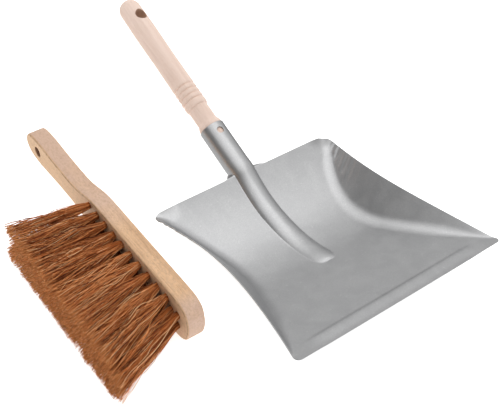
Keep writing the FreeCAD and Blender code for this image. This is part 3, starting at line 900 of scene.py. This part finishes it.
def make_block():
    """The rounded block, with its holes cut, and marked for its worn places and for its painted
    shade and fill: sides, face and holes.
    """
    half = list(OUTLINE_HALF)
    outline = half + [(x, -y) for x, y in reversed(half[1:-1])]
    plan = closed_curve(outline, 520)
    tangent = unit(np.roll(plan, -1, 0) - np.roll(plan, 1, 0))
    normal = np.stack([-tangent[:, 1], tangent[:, 0]], -1)
    if ((plan - plan.mean(0)) * normal).sum() < 0:
        normal = -normal
    rings = []
    for k in range(6):
        a = math.pi / 2 * k / 5
        rings.append((BLOCK_ROUNDING * (1 - math.sin(a)), BLOCK_ROUNDING * (1 - math.cos(a))))
    rings += [(0.0, z) for z in (5.0, 9.0, 13.0)]
    rings += [(inset, BLOCK_THICK - z) for inset, z in reversed(rings[:6])]
    grid = np.array([np.column_stack([plan - normal * inset, np.full(len(plan), z)])
                     for inset, z in rings])
    n = len(plan)
    faces = grid_faces(len(rings), n, wrap=True).tolist()
    faces += [list(range(n))[::-1], [(len(rings) - 1) * n + k for k in range(n)]]
    mesh = new_mesh("brush_block_mesh", grid.reshape(-1, 3).tolist(), faces)
    face_outward(mesh)

    points, polygons, count = [], [], 0
    wide = TUFT_HOLE_RADIUS + TUFT_HOLE_FLARE
    profile = [(wide, -1.0), (wide, 0.02), (TUFT_HOLE_RADIUS, 0.5),
               (TUFT_HOLE_RADIUS, TUFT_HOLE_DEPTH)]
    cutters = [lathe(profile, x, y, 28) for _, x, y in tuft_places()]
    wide = BRUSH_HOLE_RADIUS + HOLE_ROUNDING
    rim = [(BRUSH_HOLE_RADIUS + HOLE_ROUNDING * (1 - math.sin(a)),
            HOLE_ROUNDING * (1 - math.cos(a))) for a in np.linspace(0.0, math.pi / 2, 5)]
    profile = [(wide, -1.0)] + rim
    profile += [(r, BLOCK_THICK - z) for r, z in reversed(rim)] + [(wide, BLOCK_THICK + 1.0)]
    cutters.append(lathe(profile, BRUSH_HOLE_AT, 0.0, 56))
    for p, f in cutters:
        points += p.tolist()
        polygons += [[v + count for v in face] for face in f]
        count += len(p)
    tool_mesh = new_mesh("holes", points, polygons)
    face_outward(tool_mesh)
    tool, block = new_object("holes", tool_mesh), new_object("block", mesh)
    cut = block.modifiers.new("cut", "BOOLEAN")
    cut.operation, cut.solver, cut.object = "DIFFERENCE", "EXACT", tool
    bpy.context.view_layer.update()
    evaluated = block.evaluated_get(bpy.context.evaluated_depsgraph_get())
    result = bpy.data.meshes.new_from_object(evaluated)
    for obj in (tool, block):
        bpy.data.objects.remove(obj)

    x, y, z = vertex_values(result).T
    near = np.min([np.hypot(x - hole_x, y - hole_y) for _, hole_x, hole_y in tuft_places()], axis=0)
    # the holes' walls, where the wood gets painted shade
    bore = (near < TUFT_HOLE_RADIUS + 0.1) & (z > 0.3) & (z < TUFT_HOLE_DEPTH + 0.5)
    bore |= np.hypot(x - BRUSH_HOLE_AT, y) < BRUSH_HOLE_RADIUS + 0.3
    set_values(result, "bore", bore)
    # the sides, where the painted turn shade goes
    set_values(result, "side", (z > 0.9) & (z < BLOCK_THICK - 0.9))
    # the tuft face, which gets the painted fill
    set_values(result, "face", z < 0.6)
    set_values(result, "rim", (np.abs(z - 0.35) < 0.3) & (near > TUFT_HOLE_RADIUS + 0.6))
    return result


# --- tufts ---
FIBRES = 190
FIBRE_RADIUS = (0.20, 0.42)
FIBRE_STEPS = 13
STRANDS = 7                 # bundles that a tuft's fibres gather into
STRAYS = 4
TIP_SPREAD = (11.5, 7.0)    # half a tuft's size at the tips, along the brush and across
NOSE_SPREAD = 0.65          # the nose tufts' share of that
ROOT_RADIUS = 2.9           # of the bundle in its hole, and how far it goes into the block
ROOT_DEPTH = 3.0
SHORT_SHARE = 0.14
TIP_TAPER = 0.72            # a fibre's thickness at its tip, as a share of that at its root
PALE_SHARE = 0.09
LOOSE_LENGTH = 30.0         # of the stretch where the fibres begin to wave


def tip_place(x, y):
    """Where the middle of a tuft's tips lies, for a hole at x, y."""
    along = (x - min(TUFT_FIRST)) / (NOSE_TUFTS[0][0] - min(TUFT_FIRST))
    across = (y - TUFT_ROWS[-1]) / (TUFT_ROWS[0] - TUFT_ROWS[-1])
    tip_x = NOSE_TIP_AT if (x, y) in NOSE_TUFTS else mix(TIP_FIRST, TIP_LAST, along)
    return tip_x, mix(-TIP_UPPER, TIP_LOWER, across)


def tubes(paths, radii):
    """Three-sided tubes along paths (fibre, step, xyz), with closed ends."""
    count, steps = paths.shape[:2]
    tangent = unit(np.gradient(paths, axis=1))
    reference = np.where(np.abs(tangent[..., :1]) > 0.9, [0.0, 1.0, 0.0], [1.0, 0.0, 0.0])
    side = unit(np.cross(tangent, reference))
    other = np.cross(tangent, side)
    turn_by = RNG.uniform(0.0, 2 * math.pi, count)
    rings = []
    for k in range(3):
        a = (turn_by + 2 * math.pi * k / 3)[:, None, None]
        rings.append(paths + (side * np.cos(a) + other * np.sin(a)) * radii[..., None])
    points = np.stack(rings, 2).reshape(-1, 3)
    f, s, k = np.meshgrid(np.arange(count), np.arange(steps - 1), np.arange(3), indexing="ij")
    a = (f * steps + s) * 3
    sides = np.stack([a + k, a + (k + 1) % 3, a + 3 + (k + 1) % 3, a + 3 + k], -1).reshape(-1, 4)
    first = np.arange(count)[:, None] * steps * 3
    starts = first + [2, 1, 0]
    ends = first + (steps - 1) * 3 + [0, 1, 2]
    return points, sides, np.concatenate([starts, ends])


def tuft_paths(x, y, count, steps):
    """The fibres of one tuft: tight in the hole, then spreading in strands towards the cut tips.
    Gives their points, and how deep below the block each one is."""
    tip_x, tip_y = tip_place(x, y)
    angle = RNG.uniform(0.0, 2 * math.pi, count)
    rho = np.sqrt(RNG.uniform(0.0, 1.0, count))
    root = np.stack([rho * np.cos(angle), rho * np.sin(angle)], -1)
    strands = RNG.integers(0, STRANDS, count)
    heads = RNG.normal(0.0, 1.0, (STRANDS, 2))
    heads *= np.minimum(1.0, 1.25 / np.linalg.norm(heads, axis=1, keepdims=True))
    aim = (root * 0.4 + heads[strands] * 0.45 + RNG.normal(0.0, 0.3, (count, 2))) * TIP_SPREAD
    if (x, y) in NOSE_TUFTS:
        aim *= NOSE_SPREAD
    start = np.array([x, y]) + root * ROOT_RADIUS
    length = BRISTLE_LENGTH + RNG.normal(0.0, 0.5, count)
    short = RNG.uniform(0.0, 1.0, count) < SHORT_SHARE
    length = np.where(short, length * RNG.uniform(0.5, 0.98, count), length)
    depth = np.linspace(0.0, 1.0, steps)[None, :] * (length[:, None] + ROOT_DEPTH) - ROOT_DEPTH
    reach = np.clip(depth / BRISTLE_LENGTH, 0.0, 1.1)
    opened = reach ** RNG.uniform(0.42, 0.95, count)[:, None]
    path = np.empty((count, steps, 3))
    for k, middle in enumerate((tip_x - x, tip_y - y)):
        off = start[:, k, None] - (x, y)[k]
        path[..., k] = start[:, k, None] + middle * reach + (aim[:, k, None] - off) * opened
    path[..., 2] = -depth
    loose = np.clip(depth / LOOSE_LENGTH, 0.0, 1.0) ** 1.2
    alone = np.arange(count)
    for scale, wave, groups, group in (
            (1.3, 66.0, STRANDS, strands), (0.55, 34.0, count, alone), (0.24, 14.0, count, alone)):
        for k in range(2):
            size = RNG.normal(0.0, scale, groups)[group]
            phase = RNG.uniform(0.0, 2 * math.pi, groups)[group]
            rate = (wave * RNG.uniform(0.75, 1.35, count))[:, None]
            swing = np.sin(depth / rate * 2 * math.pi + phase[:, None]) - np.sin(phase)[:, None]
            path[..., k] += size[:, None] * swing * loose
    return path, depth


def stray_paths(x, y, count, steps):
    """A few long curly fibres that leave the bundle or loop over its upper side."""
    path, depth = tuft_paths(x, y, count, steps)
    tau = np.clip(depth / BRISTLE_LENGTH, 0.0, 1.0)
    outer = y == min(TUFT_ROWS)
    away = RNG.uniform(-7.0 if outer else -3.0, 1.5, count)[:, None]
    path[..., 1] += away * tau ** 1.3
    size = RNG.uniform(1.0, 3.4, count)[:, None] * (1.5 if outer else 1.0)
    rate = RNG.uniform(18.0, 44.0, count)[:, None]
    phase = RNG.uniform(0.0, 2 * math.pi, count)[:, None]
    path[..., 0] += size * (np.sin(depth / rate * 2 * math.pi + phase) - np.sin(phase)) * tau ** 0.8
    path[..., 2] += size * 0.9 * np.cos(depth / rate * 2 * math.pi + phase) * tau
    path[..., 2] = np.maximum(path[..., 2], -BRISTLE_LENGTH - 1.0)
    return path, depth


def make_tuft(name, x, y):
    """One tuft's fibres as a mesh, with each fibre's tone and how far along it each point is."""
    path, depth = tuft_paths(x, y, FIBRES, FIBRE_STEPS)
    strays = 0 if (x, y) in NOSE_TUFTS else STRAYS
    if strays:
        loose, loose_depth = stray_paths(x, y, strays, FIBRE_STEPS)
        path = np.concatenate([path, loose])
        depth = np.concatenate([depth, loose_depth])
    count = len(path)
    along = np.clip(depth / BRISTLE_LENGTH, 0, 1)
    radius = RNG.uniform(*FIBRE_RADIUS, count)[:, None] * mix(1.0, TIP_TAPER, along)
    points, sides, ends = tubes(path, radius)
    tone = np.clip(RNG.normal(0.48, 0.34, count), 0.0, 0.92)
    tone[RNG.uniform(0.0, 1.0, count) < PALE_SHARE] = 1.0
    tone[count - strays:] = RNG.uniform(0.8, 1.0, strays)
    mesh = new_mesh(name + "_fibres", points.tolist(), sides.tolist() + ends.tolist())
    set_values(mesh, "tone", np.repeat(tone, FIBRE_STEPS * 3))
    set_values(mesh, "along", np.repeat(along.reshape(-1), 3))
    return mesh


# --- the set ---
steel, handle_wood, block_wood, fibre = galvanised_steel(), beech(), brush_wood(), coir()
nail_steel = plain_steel("nail_steel", (0.40, 0.40, 0.41), 0.38)
wire_steel = plain_steel("staple_wire", (0.48, 0.48, 0.48), 0.35)

base, out, top = (Vector(v) for v in socket_axes())
mouth = base + out * SOCKET_LENGTH
local_hole = mouth + out * (HANDLE_LENGTH - HANG_HOLE_FROM_END)
pan_matrix = placed_by(turn("Z", -90) @ turn("Y", -PAN_TILT), local_hole, "pan_hanging_hole")
across = out.cross(top)
handle_axes = Matrix((top, across, out)).transposed().to_4x4()
handle_matrix = pan_matrix @ Matrix.Translation(mouth) @ handle_axes
brush_matrix = placed_by(turn("Z", -90 + BRUSH_TURN) @ turn("X", -90 + BRUSH_TILT),
                         (BRUSH_HOLE_AT, 0.0, BLOCK_THICK / 2), "brush_hanging_hole")

piece("pan_pressed_sheet", make_pan_sheet(), pan_matrix, "pan", ["pan_sheet"],
      steel)
piece("pan_turned_handle", make_pan_handle(), handle_matrix, "pan", ["pan_handle"],
      handle_wood)
piece("brush_shaped_block", make_block(), brush_matrix, "brush", ["brush_block"],
      block_wood, 30.0)
for name, x, y in tuft_places():
    piece(name + "_fibres", make_tuft(name, x, y), brush_matrix, "brush", [name],
          fibre, None)
for name, material in (("handle_nail", nail_steel), ("tuft_staples", wire_steel)):
    obj = frame["nodes"][name]
    obj.data.materials.clear()
    obj.data.materials.append(material)

# --- floor, light and camera ---
FLOOR_HALF = 40.0
FLOOR_DROP = 0.0002         # keeps the floor clear of the pieces that lie on it
FLOOR_WHITE = 0.88
FLOOR_GLOW = 0.75
LAMP_PLACE = (-0.25, 0.1, 2.0)
LAMP_SIZE = 3.2
LAMP_POWER = 24.0
# Where the sky's strength changes along one axis, and what it is at both ends.
SKY_BY_HEIGHT = (-0.25, 0.75, 0.38, 1.0)
SKY_BY_SIDE = (-0.8, 0.15, 0.34, 1.0)
BOUNCE_BY_HEIGHT = (-0.35, 0.12, 0.75, 0.0)
BOUNCE_BY_SIDE = (-0.3, 0.4, 1.0, 0.0)
SENSOR = 36.0               # in millimetres, as is the lens
LENS = 76.64
EYE = (-0.5163, -0.5072, 0.7082)        # both from the middle of the pan
TARGET = (-0.0042, 0.0596, 0.0008)
CAMERA_ROLL = 5.5

corners = [(x * FLOOR_HALF, y * FLOOR_HALF, 0) for x, y in ((-1, -1), (1, -1), (1, 1), (-1, 1))]
floor = new_object("floor", new_mesh("floor", corners, [(0, 1, 2, 3)]))
floor.location.z = -FLOOR_DROP
floor.visible_glossy = False
pale = Material("pale_floor")
floor.data.materials.append(pale.finish(
    (FLOOR_WHITE, FLOOR_WHITE, FLOOR_WHITE), 0.9, None, Specular_IOR_Level=0.1,
    Emission_Color=(1.0, 1.0, 1.0, 1.0), Emission_Strength=FLOOR_GLOW))

lamp_data = bpy.data.lights.new("overhead", "AREA")
lamp_data.size, lamp_data.energy = LAMP_SIZE, LAMP_POWER
lamp = new_object("overhead", lamp_data)
lamp.location = LAMP_PLACE
lamp.rotation_euler = (-Vector(LAMP_PLACE)).to_track_quat("-Z", "Y").to_euler()

world = bpy.data.worlds.new("studio")
bpy.context.scene.world = world
world.use_nodes = True
nodes, links = world.node_tree.nodes, world.node_tree.links
split = nodes.new("ShaderNodeSeparateXYZ")
links.new(nodes.new("ShaderNodeTexCoord").outputs["Generated"], split.inputs[0])


def sky_range(axis, numbers, interpolation="LINEAR"):
    made = nodes.new("ShaderNodeMapRange")
    made.interpolation_type = interpolation
    links.new(split.outputs[axis], made.inputs["Value"])
    for key, value in zip(RANGE_SOCKETS, numbers):
        made.inputs[key].default_value = value
    return made.outputs["Result"]


def sky_math(operation, a, b):
    made = nodes.new("ShaderNodeMath")
    made.operation = operation
    links.new(a, made.inputs[0])
    links.new(b, made.inputs[1])
    return made.outputs[0]


sky = sky_math("MULTIPLY", sky_range("Z", SKY_BY_HEIGHT, "SMOOTHSTEP"),
               sky_range("X", SKY_BY_SIDE, "SMOOTHSTEP"))
bounce = sky_math("MULTIPLY", sky_range("Z", BOUNCE_BY_HEIGHT), sky_range("X", BOUNCE_BY_SIDE))
background = nodes["Background"]
background.inputs["Color"].default_value = (1.0, 1.0, 1.0, 1.0)
links.new(sky_math("ADD", sky, bounce), background.inputs["Strength"])

pan_low, pan_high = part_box("pan_sheet")
middle = Vector(((pan_low.x + pan_high.x) / 2, (pan_matrix @ Vector((0, 0, FLOOR_RADIUS))).y, 0))
camera_data = bpy.data.cameras.new("camera")
camera_data.sensor_width, camera_data.lens = SENSOR, LENS
camera = new_object("camera", camera_data)
bpy.context.scene.camera = camera
eye, target = middle + Vector(EYE), middle + Vector(TARGET)
look = (target - eye).to_track_quat("-Z", "Y").to_matrix().to_4x4()
camera.matrix_world = Matrix.Translation(eye) @ look @ turn("Z", CAMERA_ROLL)
bpy.context.scene.view_settings.view_transform = "Standard"
